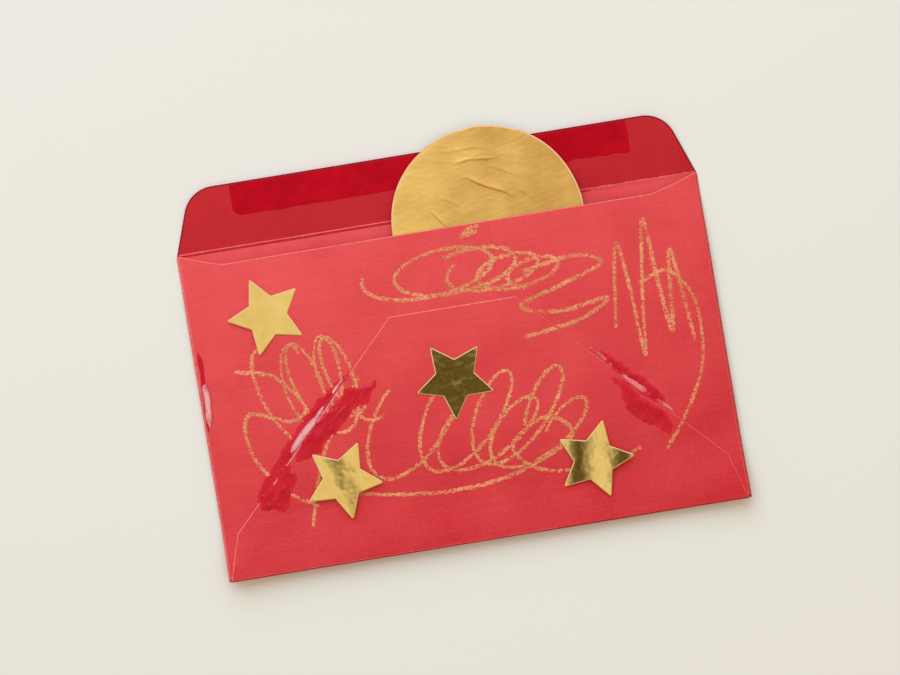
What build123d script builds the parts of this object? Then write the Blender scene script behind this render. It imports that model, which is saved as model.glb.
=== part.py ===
from build123d import *
from math import cos, radians, sin, tan
import os

# A folded paper envelope lying on its back, flap open, with a card coin half out of its mouth.
# Millimetres. X runs along the width, +Y towards the flap, Z up. The origin is the middle of the
# back panel's underside.

# Envelope sheet
WIDTH = 140.0
HEIGHT = 88.0
PAPER = 0.2
FOLD_RADIUS = 0.2
RAMP_ANGLE = 6.0
RIGHT_LEVEL = 2.9
LAP_LEFT_EDGE = 3.0
LAP_RIGHT_EDGE = 13.0
MOUTH_DEPTH = 3.7
MOUTH_RUN_IN = 13.5

# Bottom flap outline
SHOULDER_INSET = 3.9
SHOULDER_HEIGHT = 12.4
FLAP_TOP_HALF = 17.0
FLAP_TOP_HEIGHT = 62.8
TUCK = 4.5

# Closure flap
FLAP_DEPTH = 16.9
FLAP_TIP_HALF = 64.0
FLAP_ROUNDING = 8.6
FLAP_LIFT = 5.5
CREASE_GAP = 0.05
GUM_HALF = 53.5
GUM_START = 7.9
GUM_ROUNDING = 2.5
GUM_THICK = 0.05

# Coin
COIN_RADIUS = 25.7
COIN_CARD = 0.7
COIN_PAINT = 0.1
COIN_SIDE_SHARE = 0.186
COIN_SUNK = 4.43
COIN_CLEARANCE = 0.19
COIN_TILT = 1.5
COIN_FLAT_ANGLE = 98.0
COIN_FLAT_CUT = 0.25

# Foil stars
STAR_RADIUS = 11.0
STAR_INNER = 5.5
STAR_THICK = 0.1
STAR_POINTS = 5

# Dried glue
SEAM_GLUE_THICK = 0.15
SEAM_GLUE_SHARE = 0.43
LEFT_GLUE_HALF_LENGTH = 23.0
RIGHT_GLUE_HALF_LENGTH = 15.0
SEAM_GLUE_HALF_WIDTH = 3.0
EDGE_GLUE_THICK = 0.3
EDGE_GLUE_SHARE = 0.153
EDGE_GLUE_HALF_LENGTH = 10.8
EDGE_GLUE_REACH = 1.6
EDGE_GLUE_FLOOR = 0.25

# Sizes that follow from those above
HALF_W = WIDTH / 2
HALF_H = HEIGHT / 2
HALF_PAPER = PAPER / 2
FOLD_OUT = FOLD_RADIUS + HALF_PAPER
LEFT_LEVEL = RIGHT_LEVEL + PAPER
BOTTOM_LEVEL = LEFT_LEVEL + PAPER
MOUTH_Y = HALF_H - MOUTH_DEPTH
MOUTH_HALF_STRAIGHT = HALF_W - MOUTH_RUN_IN
MOUTH_ROUNDING = 1.8 * MOUTH_RUN_IN
SEAM_FOOT = Vector(HALF_W - SHOULDER_INSET, SHOULDER_HEIGHT - HALF_H)
SEAM_HEAD = Vector(FLAP_TOP_HALF, FLAP_TOP_HEIGHT - HALF_H)
HALF_CARD = COIN_CARD / 2
HALF_COIN = HALF_CARD + COIN_PAINT
COIN_X = COIN_SIDE_SHARE * HALF_W
COIN_Y = HALF_H - COIN_SUNK
COIN_ROOM = RIGHT_LEVEL - HALF_PAPER - COIN_CLEARANCE - HALF_COIN
COIN_Z = COIN_ROOM - (MOUTH_Y - COIN_Y) * tan(radians(COIN_TILT))
PANEL_TOP = HALF_H - PAPER - CREASE_GAP
DEEP = 5.0
SPAN = 2 * WIDTH

left_edge = Plane(origin=(FOLD_OUT - HALF_W, 0, 0), x_dir=(1, 0, 0), z_dir=(0, -1, 0))
right_edge = Plane(origin=(HALF_W - FOLD_OUT, 0, 0), x_dir=(-1, 0, 0), z_dir=(0, 1, 0))
bottom_edge = Plane(origin=(0, FOLD_OUT - HALF_H, 0), x_dir=(0, 1, 0), z_dir=(1, 0, 0))
crease = Pos(0, HALF_H, 0)
coin_place = Pos(COIN_X, COIN_Y, COIN_Z) * Rot(COIN_TILT, 0, 0)


def below_sheet(edge, level, offset):
    """Everything below a folded sheet: round fold at the edge, ramp, then a level run.

    offset is the distance outwards from the middle of the sheet's thickness."""
    ramp = radians(RAMP_ANGLE)
    fold_top = HALF_PAPER + FOLD_RADIUS * (1 + cos(ramp))
    ramp_length = (level - fold_top) / sin(ramp)
    crown = offset * tan(ramp / 2)
    start = (0, HALF_PAPER - offset)
    fold = JernArc(start, (-1, 0), FOLD_RADIUS + offset, RAMP_ANGLE - 180)
    run = ramp_length + crown
    ramp_end = fold @ 1 + Vector(run * cos(ramp), run * sin(ramp))
    rim = Polyline(fold @ 1, ramp_end, (WIDTH, ramp_end.Y), (WIDTH, -DEEP), (0, -DEEP), start)
    return extrude(edge * make_face([fold, *rim.edges()]), SPAN, both=True)


def below_ramp(edge, offset):
    """Everything below a side flap's ramp, carried straight on past both its ends."""
    ramp = radians(RAMP_ANGLE)
    along = Vector(cos(ramp), sin(ramp))
    fold_middle = Vector(0, HALF_PAPER + FOLD_RADIUS)
    foot = fold_middle + Vector(-sin(ramp), cos(ramp)) * (FOLD_RADIUS + offset)
    low = foot - along * DEEP
    high = foot + along * WIDTH
    rim = Polyline(low, high, (high.X, -DEEP), (low.X, -DEEP), close=True)
    return extrude(edge * make_face(rim), SPAN, both=True)


def below_sides(offset):
    """Everything below both side flaps' ramps."""
    return below_ramp(left_edge, offset) & below_ramp(right_edge, offset)


def below_face(offset):
    """Everything below the bottom flap: it rises from its fold, and lies on the side flaps' ramps."""
    return below_sides(PAPER + offset) & below_sheet(bottom_edge, BOTTOM_LEVEL, offset)


def upright(outline):
    """A tall prism over an outline drawn on the table."""
    return extrude(outline, DEEP, both=True)


def mouth_outline():
    """Outline of the envelope's face with the shallow dip of its mouth."""
    rim = Polyline(
        (-HALF_W, PANEL_TOP),
        (-MOUTH_HALF_STRAIGHT, MOUTH_Y),
        (MOUTH_HALF_STRAIGHT, MOUTH_Y),
        (HALF_W, PANEL_TOP),
        (HALF_W, -HALF_H),
        (-HALF_W, -HALF_H),
        close=True,
    )
    face = make_face(rim)
    dips = face.vertices().filter_by_position(Axis.Y, MOUTH_Y - 0.1, MOUTH_Y + 0.1)
    return fillet(dips, MOUTH_ROUNDING)


def mirrored_outline(points):
    """An outline from its left-hand points, from the bottom up, and their mirror image."""
    right = [(-x, y) for x, y in reversed(points)]
    return make_face(Polyline(*points, *right, close=True))


def bottom_outline():
    """Outline of the bottom flap: corners, shoulders, and slanting sides up to its top edge."""
    left = [(-HALF_W, -HALF_H), (-SEAM_FOOT.X, SEAM_FOOT.Y), (-SEAM_HEAD.X, SEAM_HEAD.Y)]
    return mirrored_outline(left)


def tuck_outline():
    """The part of the face the side flaps don't reach: the bottom flap less the tucked margin."""
    slant = (SEAM_HEAD.Y - SEAM_FOOT.Y) / (SEAM_FOOT.X - SEAM_HEAD.X)
    margin = TUCK * (1 + slant ** 2) ** 0.5
    top_y = SEAM_HEAD.Y - TUCK
    top_x = (top_y - SEAM_FOOT.Y + margin) / slant - SEAM_FOOT.X
    low_x = top_x - (top_y + HEIGHT) / slant
    return mirrored_outline([(low_x, -HEIGHT), (top_x, top_y)])


def hip_outline():
    """The part of the face where the bottom flap's ramp lies lower than the side flaps' ramps."""
    top_y = SEAM_HEAD.Y - TUCK
    return mirrored_outline([(-HALF_W, -HALF_H), (top_y + HALF_H - HALF_W, top_y)])


def back_panel():
    """The flat panel underneath, from fold to fold and up to the crease."""
    width = WIDTH - 2 * FOLD_OUT
    low = FOLD_OUT - HALF_H
    return Pos(0, (low + PANEL_TOP) / 2, HALF_PAPER) * Box(width, PANEL_TOP - low, PAPER)


def side_flap(edge, level, inner_x):
    """A side flap with its folded edge, running in to inner_x and tucked under the bottom flap."""
    sheet = below_sheet(edge, level, HALF_PAPER) - below_sheet(edge, level, -HALF_PAPER)
    side = 1 if edge.origin.X > 0 else -1
    reach = abs(side * HALF_W - inner_x)
    strip = Pos(side * HALF_W - side * reach / 2, 0) * Rectangle(reach, HEIGHT)
    outline = (mouth_outline() & strip) - tuck_outline() - hip_outline()
    return sheet & upright(outline)


def bottom_flap():
    """The flap folded up from the bottom edge over both side flaps."""
    sheet = below_face(HALF_PAPER) - below_face(-HALF_PAPER)
    return sheet & upright(bottom_outline())


def closure_flap():
    """The open flap, its root rounded about the crease."""
    points = [(-HALF_W, 0), (-FLAP_TIP_HALF, FLAP_DEPTH), (FLAP_TIP_HALF, FLAP_DEPTH), (HALF_W, 0)]
    face = make_face(Polyline(*points, close=True))
    tips = face.vertices().group_by(Axis.Y)[-1]
    blade = extrude(fillet(tips, FLAP_ROUNDING), PAPER)
    root = Rot(0, 90, 0) * Cylinder(PAPER, WIDTH)
    behind = Pos(0, -PAPER / 2, PAPER / 2) * Box(WIDTH, PAPER, PAPER)
    return crease * Rot(FLAP_LIFT, 0, 0) * (blade + (root & behind))


def gum_strip():
    """The band of gum on the inner face of the closure flap."""
    depth = FLAP_DEPTH - GUM_START
    face = Pos(0, GUM_START + depth / 2) * Rectangle(2 * GUM_HALF, depth)
    inner = face.vertices().group_by(Axis.Y)[0]
    band = extrude(fillet(inner, GUM_ROUNDING), GUM_THICK)
    return crease * Rot(FLAP_LIFT, 0, 0) * Pos(0, 0, PAPER) * band


def coin_slice(low, high):
    """A slice of the hand-cut coin between two heights of its own thickness."""
    disc = Circle(COIN_RADIUS)
    trim = Pos(2 * COIN_RADIUS - COIN_FLAT_CUT, 0) * Rectangle(2 * COIN_RADIUS, 2 * COIN_RADIUS)
    outline = disc - Rot(0, 0, COIN_FLAT_ANGLE) * trim
    return coin_place * Pos(0, 0, low) * extrude(outline, high - low)


def star_prism(share_x, share_y, turn):
    """A tall prism over one five-pointed star, one tip at the given turn."""
    points = []
    for step in range(2 * STAR_POINTS):
        reach = STAR_INNER if step % 2 else STAR_RADIUS
        angle = radians(turn + step * 180 / STAR_POINTS)
        points.append((reach * cos(angle), reach * sin(angle)))
    star = make_face(Polyline(*points, close=True))
    return Pos(share_x * HALF_W, share_y * HALF_H) * upright(star)


def star_on_side(share_x, share_y, turn):
    """A foil star lying on the left side flap."""
    foil = below_sheet(left_edge, LEFT_LEVEL, HALF_PAPER + STAR_THICK)
    foil -= below_sheet(left_edge, LEFT_LEVEL, HALF_PAPER)
    return foil & star_prism(share_x, share_y, turn)


def star_on_bottom(share_x, share_y, turn):
    """A foil star lying on the bottom flap."""
    foil = below_face(HALF_PAPER + STAR_THICK) - below_face(HALF_PAPER)
    return foil & star_prism(share_x, share_y, turn)


def seam_glue(side, edge, level, half_length):
    """Dried glue over a slanting seam: on the bottom flap, and beside it on the side flap."""
    run = SEAM_HEAD - SEAM_FOOT
    middle = SEAM_FOOT + run * SEAM_GLUE_SHARE
    slant = Rot(0, 0, -side * run.get_angle(Vector(-1, 0)))
    blot = Pos(side * middle.X, middle.Y) * slant * Ellipse(half_length, SEAM_GLUE_HALF_WIDTH)
    flap = bottom_outline()
    top = below_face(HALF_PAPER + SEAM_GLUE_THICK)
    on_flap = (top - below_face(HALF_PAPER)) & upright(blot & flap)
    beside = (top - below_sheet(edge, level, HALF_PAPER)) & upright(blot - flap)
    return on_flap + beside


def edge_glue():
    """Dried glue over the left folded edge."""
    layer = below_sheet(left_edge, LEFT_LEVEL, HALF_PAPER + EDGE_GLUE_THICK)
    layer -= below_sheet(left_edge, LEFT_LEVEL, HALF_PAPER)
    middle = Pos(-HALF_W, EDGE_GLUE_SHARE * HALF_H)
    blot = middle * Ellipse(EDGE_GLUE_REACH, EDGE_GLUE_HALF_LENGTH)
    above = middle * Pos(0, 0, EDGE_GLUE_FLOOR + DEEP / 2) * Box(4 * EDGE_GLUE_REACH, HEIGHT, DEEP)
    return layer & upright(blot) & above


nodes = {
    "back_panel": back_panel(),
    "left_side_flap": side_flap(left_edge, LEFT_LEVEL, LAP_RIGHT_EDGE),
    "right_side_flap": side_flap(right_edge, RIGHT_LEVEL, LAP_LEFT_EDGE),
    "bottom_flap": bottom_flap(),
    "closure_flap": closure_flap(),
    "gum_strip": gum_strip(),
    "coin_core": coin_slice(-HALF_CARD, HALF_CARD),
    "coin_gold_front": coin_slice(HALF_CARD, HALF_COIN),
    "coin_gold_back": coin_slice(-HALF_COIN, -HALF_CARD),
    "star_upper_left": star_on_side(-0.7, 0.552, 106.5),
    "star_centre": star_on_bottom(-0.034, -0.009, 118.7),
    "star_lower_left": star_on_bottom(-0.514, -0.498, 59.4),
    "star_lower_right": star_on_bottom(0.439, -0.62, 68.9),
    "left_seam_glue": seam_glue(-1, left_edge, LEFT_LEVEL, LEFT_GLUE_HALF_LENGTH),
    "right_seam_glue": seam_glue(1, right_edge, RIGHT_LEVEL, RIGHT_GLUE_HALF_LENGTH),
    "left_edge_glue": edge_glue(),
}

os.makedirs("parts", exist_ok=True)
for name, solid in nodes.items():
    export_step(solid, f"parts/{name}.step")
    print(name, solid.is_valid, round(solid.volume, 3), len(solid.solids()))
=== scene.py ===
from math import atan2, cos, pi, radians, sin, tan

import bpy
import numpy as np
from mathutils import Matrix, Vector
from mathutils.geometry import delaunay_2d_cdt


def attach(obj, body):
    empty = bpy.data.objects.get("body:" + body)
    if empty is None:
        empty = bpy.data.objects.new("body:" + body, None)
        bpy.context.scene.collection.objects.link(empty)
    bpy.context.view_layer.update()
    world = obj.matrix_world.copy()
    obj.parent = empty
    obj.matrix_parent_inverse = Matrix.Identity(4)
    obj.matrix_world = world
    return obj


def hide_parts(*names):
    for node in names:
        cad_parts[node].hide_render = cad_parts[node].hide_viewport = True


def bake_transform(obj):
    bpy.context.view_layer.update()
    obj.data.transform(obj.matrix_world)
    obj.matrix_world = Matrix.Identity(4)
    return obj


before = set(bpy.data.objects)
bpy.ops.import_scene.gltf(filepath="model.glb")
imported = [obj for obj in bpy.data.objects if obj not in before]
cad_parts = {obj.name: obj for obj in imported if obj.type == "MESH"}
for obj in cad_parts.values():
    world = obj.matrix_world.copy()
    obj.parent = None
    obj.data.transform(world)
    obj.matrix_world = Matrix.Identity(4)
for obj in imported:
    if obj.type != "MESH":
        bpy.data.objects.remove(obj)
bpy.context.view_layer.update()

# Lengths are millimetres in the part's own frame until a mesh is made.
# The table, the light and the camera are in metres.
MM = 0.001

# Paper and its folds
HALF_W = 70.0
HALF_H = 44.0
PAPER = 0.2
FOLD_X = 69.7
FOLD_Y = 43.7
FOLD_Z = 0.3
RAMP = tan(radians(6.0))
LEVEL_RIGHT = 2.9
LEVEL_LEFT = 3.1
LEVEL_BOTTOM = 3.3
FOLD_ROUND = 0.16
LOW_EDGE_LIFT = 3.2
SIDE_LIFT = 0.85
WAVE_HEIGHT = 0.10

# Edges of the panels
BACK_TOP_Y = 43.85
MOUTH_Y = 39.85
MOUTH_END_Y = 43.75
MOUTH_LEFT_X = 58.0
MOUTH_RIGHT_X = 56.5
LAP_X = 13.0
RIGHT_FLAP_X = 3.0
TUCK_X = 15.1
TUCK_Y = 14.3
SIDE_FLAP_LOW_Y = -43.2

# Open flap and its gum
CREASE_Y = 43.94
FLAP_SLOPE = tan(radians(5.5))
FLAP_TIP_Y = 60.82
FLAP_CORNER_R = 8.6
GUM_HALF = 53.5
GUM_LOW_Y = 51.9
GUM_TOP_Y = 60.4
GUM_THICK = 0.05

# Coin
COIN = (13.02, 39.57, 2.14)
COIN_R = 25.7
COIN_SLOPE = tan(radians(1.5))
CARD_THICK = 0.7
PAINT_THICK = 0.1
BRUSH_TURN = radians(-14)

# Stars and glue
STAR_R = 10.95
STAR_WAIST_R = 5.45
STAR_GAP = 0.16
FOIL_THICK = 0.1
GLUE_FILM = 0.04

# Table and view
TABLE_Z = -0.0002
VIEW_UP = Vector((0.1619, 0.9868, 0))
VIEW_RIGHT = Vector((0.9868, -0.1619, 0))
VIEW_CENTRE = (-0.0019, 0.0108)
VIEW_WIDTH = 0.240
VIEW_HEIGHT = 0.75


# Small tools

def srgb(r, g, b):
    """Linear colour, with alpha, from eight-bit sRGB."""
    linear = [((c / 255 + 0.055) / 1.055) ** 2.4 if c > 10 else c / 255 / 12.92 for c in (r, g, b)]
    return (*linear, 1.0)


def smooth(t):
    """Smooth step from 0 to 1."""
    t = np.clip(t, 0, 1)
    return t * t * (3 - 2 * t)


def soft_min(a, b, k):
    """The lower of two heights, with the corner between them rounded."""
    return -k * np.logaddexp(-a / k, -b / k)


def grain(x, y, scale_x, scale_y, seed):
    """Smooth random field from 0 to 1 with cells of the given size."""
    rng = np.random.default_rng(seed)
    table = rng.random((256, 256))
    u = np.asarray(x, float) / scale_x + 1000.5
    v = np.asarray(y, float) / scale_y + 1000.5
    i = np.floor(u).astype(int)
    j = np.floor(v).astype(int)
    s = smooth(u - i)
    t = smooth(v - j)
    i0, i1, j0, j1 = i % 256, (i + 1) % 256, j % 256, (j + 1) % 256
    low = table[i0, j0] * (1 - s) + table[i1, j0] * s
    high = table[i0, j1] * (1 - s) + table[i1, j1] * s
    return low * (1 - t) + high * t


def resample(points, step, closed=True):
    """Points along a polyline every step or less, keeping its corners."""
    points = np.asarray(points, float)
    ends = np.roll(points, -1, 0) if closed else points[1:]
    out = []
    for a, b in zip(points, ends):
        n = max(1, int(np.ceil(np.hypot(*(b - a)) / step)))
        out.extend(a + (b - a) * k / n for k in range(n))
    if not closed:
        out.append(points[-1])
    return np.array(out)


def rounded(points, radii, steps=8):
    """A closed outline with its corners rounded."""
    points = np.asarray(points, float)
    out = []
    for k, r in enumerate(radii):
        p = points[k]
        a = points[k - 1] - p
        b = points[(k + 1) % len(points)] - p
        a /= np.hypot(*a)
        b /= np.hypot(*b)
        if r <= 0:
            out.append(p)
            continue
        half = np.arccos(np.clip(a @ b, -1, 1)) / 2
        middle = p + (a + b) / np.hypot(*(a + b)) * r / sin(half)
        first = p + a * r / tan(half) - middle
        last = p + b * r / tan(half) - middle
        start = atan2(first[1], first[0])
        turn = (atan2(last[1], last[0]) - start + pi) % (2 * pi) - pi
        out.extend(middle + r * np.array([cos(start + turn * s / steps), sin(start + turn * s / steps)])
                   for s in range(steps + 1))
    return np.array(out)


def between(a, b, c, d, t):
    """A point of the smooth curve from b to c, with a before them and d after."""
    return 0.5 * (2 * b + (c - a) * t + (2 * a - 5 * b + 4 * c - d) * t * t
                  + (3 * b - a - 3 * c + d) * t ** 3)


def closed_curve(points, steps=10):
    """A smooth closed line through points."""
    p = np.asarray(points, float)
    out = []
    for k in range(len(p)):
        a, b, c, d = p[k - 1], p[k], p[(k + 1) % len(p)], p[(k + 2) % len(p)]
        out.extend(between(a, b, c, d, s / steps) for s in range(steps))
    return np.array(out)


def sweep(points):
    """A smooth open line through points."""
    p = np.asarray(points, float)
    p = np.concatenate([[2 * p[0] - p[1]], p, [2 * p[-1] - p[-2]]])
    out = []
    for k in range(1, len(p) - 2):
        a, b, c, d = p[k - 1:k + 3]
        out.extend(between(a, b, c, d, t) for t in np.linspace(0, 1, 30, endpoint=False))
    return np.array(out)


def inside(x, y, outline):
    """Whether points lie inside an outline."""
    hit = np.zeros(np.shape(x), bool)
    for (ax, ay), (bx, by) in zip(outline, np.roll(outline, -1, 0)):
        if ay == by:
            continue
        crosses = (ay > y) != (by > y)
        hit ^= crosses & (x < (bx - ax) * (y - ay) / (by - ay) + ax)
    return hit


def rim_distance(x, y, outline):
    """Distance of points from an outline."""
    best = np.full(np.shape(x), 1e9)
    for a, b in zip(outline, np.roll(outline, -1, 0)):
        d = b - a
        t = np.clip(((x - a[0]) * d[0] + (y - a[1]) * d[1]) / max(d @ d, 1e-12), 0, 1)
        best = np.minimum(best, np.hypot(x - a[0] - t * d[0], y - a[1] - t * d[1]))
    return best


# Shape of the envelope: heights of the middle of each sheet above the table

def ramp(s):
    """Rise of a sheet away from its fold."""
    return 0.5 + RAMP * s


def curl(x, y):
    """The envelope's lower edge lifts off the table, more at the left, and its sides a little."""
    low_edge = smooth((-27 - y) / 18) * (LOW_EDGE_LIFT - 0.3 * x / HALF_W)
    sides = (SIDE_LIFT + 0.2 * x / HALF_W) * smooth((np.abs(x) - 50) / 20) * smooth((41 - y) / 18)
    wave = WAVE_HEIGHT * np.sin(x / 19 + 0.7) * np.sin(y / 23 + 1.1) * smooth((HALF_W - np.abs(x)) / 20)
    return low_edge + sides + wave * smooth((HALF_H - np.abs(y)) / 12)


def back_mid(x, y):
    return PAPER / 2 + curl(x, y)


def left_mid(x, y):
    return soft_min(ramp(x + FOLD_X), LEVEL_LEFT + 0 * x, FOLD_ROUND) + curl(x, y)


def right_mid(x, y):
    sunk = soft_min(ramp(FOLD_X - x), LEVEL_RIGHT + 0 * x, FOLD_ROUND)
    close_up = 0.12 * smooth((x - 12) / 10) * smooth((40 - x) / 18)
    return sunk + close_up + curl(x, y)


def bottom_mid(x, y):
    sides = soft_min(ramp(x + FOLD_X), ramp(FOLD_X - x), FOLD_ROUND) + PAPER + 0.03
    own = soft_min(ramp(y + FOLD_Y), LEVEL_BOTTOM + 0 * x, FOLD_ROUND)
    return np.minimum(soft_min(sides, own, 0.10), sides) + 0.06 + curl(x, y)


def flap_mid(x, y):
    d = y - HALF_H
    bend = 0.25 * np.sin(pi * np.clip(d, 0, 17) / 17) * np.cos(x / 31 + 0.4)
    return PAPER / 2 + np.maximum(d, 0) * FLAP_SLOPE - 0.10 * np.abs(bend)


def coin_mid(x, y):
    return COIN[2] + (y - COIN[1]) * COIN_SLOPE


BOTTOM_RIM = np.array([
    (-69.5, -FOLD_Y), (69.5, -FOLD_Y), (66.1, -31.6), (17.0, 18.8), (-17.0, 18.8), (-66.1, -31.6),
])


def face_top(x, y):
    """Top of the paper that shows at a point of the face."""
    x = np.asarray(x, float)
    y = np.asarray(y, float)
    side = np.where(x < LAP_X, left_mid(x, y), right_mid(x, y))
    return np.where(inside(x, y, BOTTOM_RIM), bottom_mid(x, y), side) + PAPER / 2


def lower_top(x, y):
    """Top of the lower of the sheets that meet near a point of the face."""
    return np.minimum(np.minimum(left_mid(x, y), right_mid(x, y)) + PAPER / 2, face_top(x, y))


# Mesh makers

def make_object(name, verts, faces, marks, materials, sharp=(), pale=None):
    """A mesh object from millimetre points. marks gives each face its material."""
    mesh = bpy.data.meshes.new(name)
    mesh.from_pydata([tuple(c * MM for c in v) for v in verts], [], [tuple(f) for f in faces])
    mesh.polygons.foreach_set("material_index", list(marks))
    mesh.polygons.foreach_set("use_smooth", [True] * len(mesh.polygons))
    if len(sharp):
        wanted = {tuple(sorted(e)) for e in sharp}
        flags = [tuple(sorted(e.vertices)) in wanted for e in mesh.edges]
        mesh.attributes.new("sharp_edge", "BOOLEAN", "EDGE").data.foreach_set("value", flags)
    if pale is not None:
        mesh.attributes.new("pale", "FLOAT", "POINT").data.foreach_set("value", list(pale))
    mesh.update()
    obj = bpy.data.objects.new(name, mesh)
    bpy.context.scene.collection.objects.link(obj)
    for m in materials:
        mesh.materials.append(m)
    return obj


def inset(rim, amount):
    """An anticlockwise outline drawn in by an amount."""
    before = rim - np.roll(rim, 1, 0)
    after = np.roll(rim, -1, 0) - rim
    n1 = np.stack([-before[:, 1], before[:, 0]], 1) / np.hypot(before[:, 0], before[:, 1])[:, None]
    n2 = np.stack([-after[:, 1], after[:, 0]], 1) / np.hypot(after[:, 0], after[:, 1])[:, None]
    both = n1 + n2
    size = np.maximum((both ** 2).sum(1), 0.25)
    return rim + 2 * amount * both / size[:, None]


def sheet(name, outline, mid, thick, step, materials, bevel=0.16, pale=None, seed=1, dome=None,
          edge_mark=None, under_mark=0):
    """A closed sheet with a slanting cut edge.

    dome adds to the top's height, and edge_mark picks a cut edge's material.
    """
    outline = np.asarray(outline, float)
    area = (outline[:, 0] * np.roll(outline[:, 1], -1) - np.roll(outline[:, 0], -1) * outline[:, 1]).sum()
    if area < 0:
        outline = outline[::-1]
    rim = resample(outline, step)
    inner = inset(rim, bevel)
    low, high = rim.min(0), rim.max(0)
    gx, gy = np.meshgrid(np.arange(low[0], high[0], step), np.arange(low[1], high[1], step * 0.87))
    gx[1::2] += step / 2
    gx, gy = gx.ravel(), gy.ravel()
    rng = np.random.default_rng(seed)
    gx = gx + (rng.random(gx.size) - 0.5) * step * 0.25
    gy = gy + (rng.random(gy.size) - 0.5) * step * 0.25
    keep = inside(gx, gy, inner)
    gx, gy = gx[keep], gy[keep]
    keep = rim_distance(gx, gy, inner) > step * 0.55
    top = np.concatenate([inner, np.stack([gx[keep], gy[keep]], 1)])
    n = len(rim)
    ring = [(k, (k + 1) % n) for k in range(n)]
    got = delaunay_2d_cdt([Vector(p) for p in top], ring, [list(range(n))], 1, 1e-7)
    source = [ids[0] if ids else -1 for ids in got[3]]
    if min(source) < 0:
        raise RuntimeError(f"{name}: the outline crosses itself")
    count = len(top)
    faces = [[source[v] for v in f] for f in got[2]]
    under = top.copy()
    under[:n] = rim
    top_z = mid(top[:, 0], top[:, 1]) + thick / 2
    if dome is not None:
        top_z = top_z + dome(top[:, 0], top[:, 1])
    low_z = mid(under[:, 0], under[:, 1]) - thick / 2
    verts = np.concatenate([np.column_stack([top, top_z]), np.column_stack([under, low_z])])
    mesh_faces = list(faces) + [[v + count for v in reversed(f)] for f in faces]
    marks = [0] * len(faces) + [under_mark] * len(faces)
    sharp = []
    for a, b in ring:
        mesh_faces.append([a, a + count, b + count, b])
        out = np.array([rim[b][1] - rim[a][1], rim[a][0] - rim[b][0]])
        marks.append(edge_mark(*rim[a], out / np.hypot(*out)) if edge_mark else len(materials) - 1)
        sharp += [(a, b), (a + count, b + count)]
    shade = None
    if pale is not None:
        shade = np.concatenate([pale(top[:, 0], top[:, 1]), pale(under[:, 0], under[:, 1])])
    return make_object(name, verts, mesh_faces, marks, materials, sharp, shade)


def closing_faces(rows, columns):
    """The underside and the two ends of a strip."""
    last = columns - 1
    under = [[k * columns + last, (k + 1) * columns + last, (k + 1) * columns, k * columns]
             for k in range(rows - 1)]
    ends = [list(range(columns)), [(rows - 1) * columns + j for j in reversed(range(columns))]]
    return under + ends


def strip_faces(rows, columns):
    """The faces of a closed strip, its top first."""
    top = [[k * columns + j, (k + 1) * columns + j, (k + 1) * columns + j + 1, k * columns + j + 1]
           for k in range(rows - 1) for j in range(columns - 1)]
    return top + closing_faces(rows, columns)


def fold_roll(name, start, end, outward, reach, wear_and_highlight, material, seed):
    """The rounded paper of a folded edge, from the face round to the back."""
    start, end = np.asarray(start, float), np.asarray(end, float)
    n = int(np.hypot(*(end - start)) / 0.7)
    arc = np.linspace(0, pi, 11)
    m = 2 * len(arc)
    verts = []
    wobble = grain(np.arange(n + 1), np.zeros(n + 1), 9, 1, seed) - 0.5
    for k in range(n + 1):
        p = start + (end - start) * k / n
        wide = reach[0] + (reach[1] - reach[0]) * k / n
        section = [(wide * sin(a), FOLD_Z * cos(a)) for a in arc]
        section += [((wide - PAPER) * sin(a), (FOLD_Z - PAPER) * cos(a)) for a in arc[::-1]]
        for out, up in section:
            x = p[0] + outward[0] * (out + 0.04 * wobble[k])
            y = p[1] + outward[1] * (out + 0.04 * wobble[k])
            verts.append((x, y, FOLD_Z + up + float(curl(np.float64(x), np.float64(y)))))
    faces = [[k * m + j, (k + 1) * m + j, (k + 1) * m + (j + 1) % m, k * m + (j + 1) % m]
             for k in range(n) for j in range(m)]
    faces += [list(range(m)), [n * m + j for j in reversed(range(m))]]
    if sum(outward) < 0:
        faces = [f[::-1] for f in faces]
    return make_object(name, verts, faces, [0] * len(faces), [material], pale=[wear_and_highlight] * len(verts))


# Materials

def node(tree, kind, **values):
    """A shader node with its inputs or settings filled in."""
    made = tree.nodes.new(kind)
    for key, value in values.items():
        slot = made.inputs.get(key.replace("_", " "))
        if slot is None:
            setattr(made, key, value)
        elif isinstance(value, bpy.types.NodeSocket):
            tree.links.new(value, slot)
        else:
            slot.default_value = value
    return made


def new_material(name, roughness, metallic=0.0, specular=0.5):
    """A material with its shader and its object coordinates."""
    mat = bpy.data.materials.new(name)
    mat.use_nodes = True
    tree = mat.node_tree
    shader = tree.nodes["Principled BSDF"]
    shader.inputs["Roughness"].default_value = roughness
    shader.inputs["Metallic"].default_value = metallic
    shader.inputs["Specular IOR Level"].default_value = specular
    place = node(tree, "ShaderNodeTexCoord").outputs["Object"]
    return mat, tree, shader, place


def noise(tree, place, scale, detail=3.0, stretch=(1, 1, 1), roughness=0.55):
    """A noise pattern, stretched along the axes."""
    moved = node(tree, "ShaderNodeMapping", Vector=place, Scale=stretch).outputs["Vector"]
    return node(tree, "ShaderNodeTexNoise", Vector=moved, Scale=scale, Detail=detail,
                Roughness=roughness).outputs["Fac"]


def maths(tree, operation, a, b, clamp=False):
    """One arithmetic step on two values."""
    made = tree.nodes.new("ShaderNodeMath")
    made.operation = operation
    made.use_clamp = clamp
    for slot, value in zip(made.inputs, (a, b)):
        if isinstance(value, bpy.types.NodeSocket):
            tree.links.new(value, slot)
        else:
            slot.default_value = value
    return made.outputs[0]


def weighted(tree, *terms):
    """The sum of values, each times its weight."""
    total = None
    for value, weight in terms:
        part = maths(tree, "MULTIPLY", value, weight)
        total = part if total is None else maths(tree, "ADD", total, part)
    return total


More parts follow.
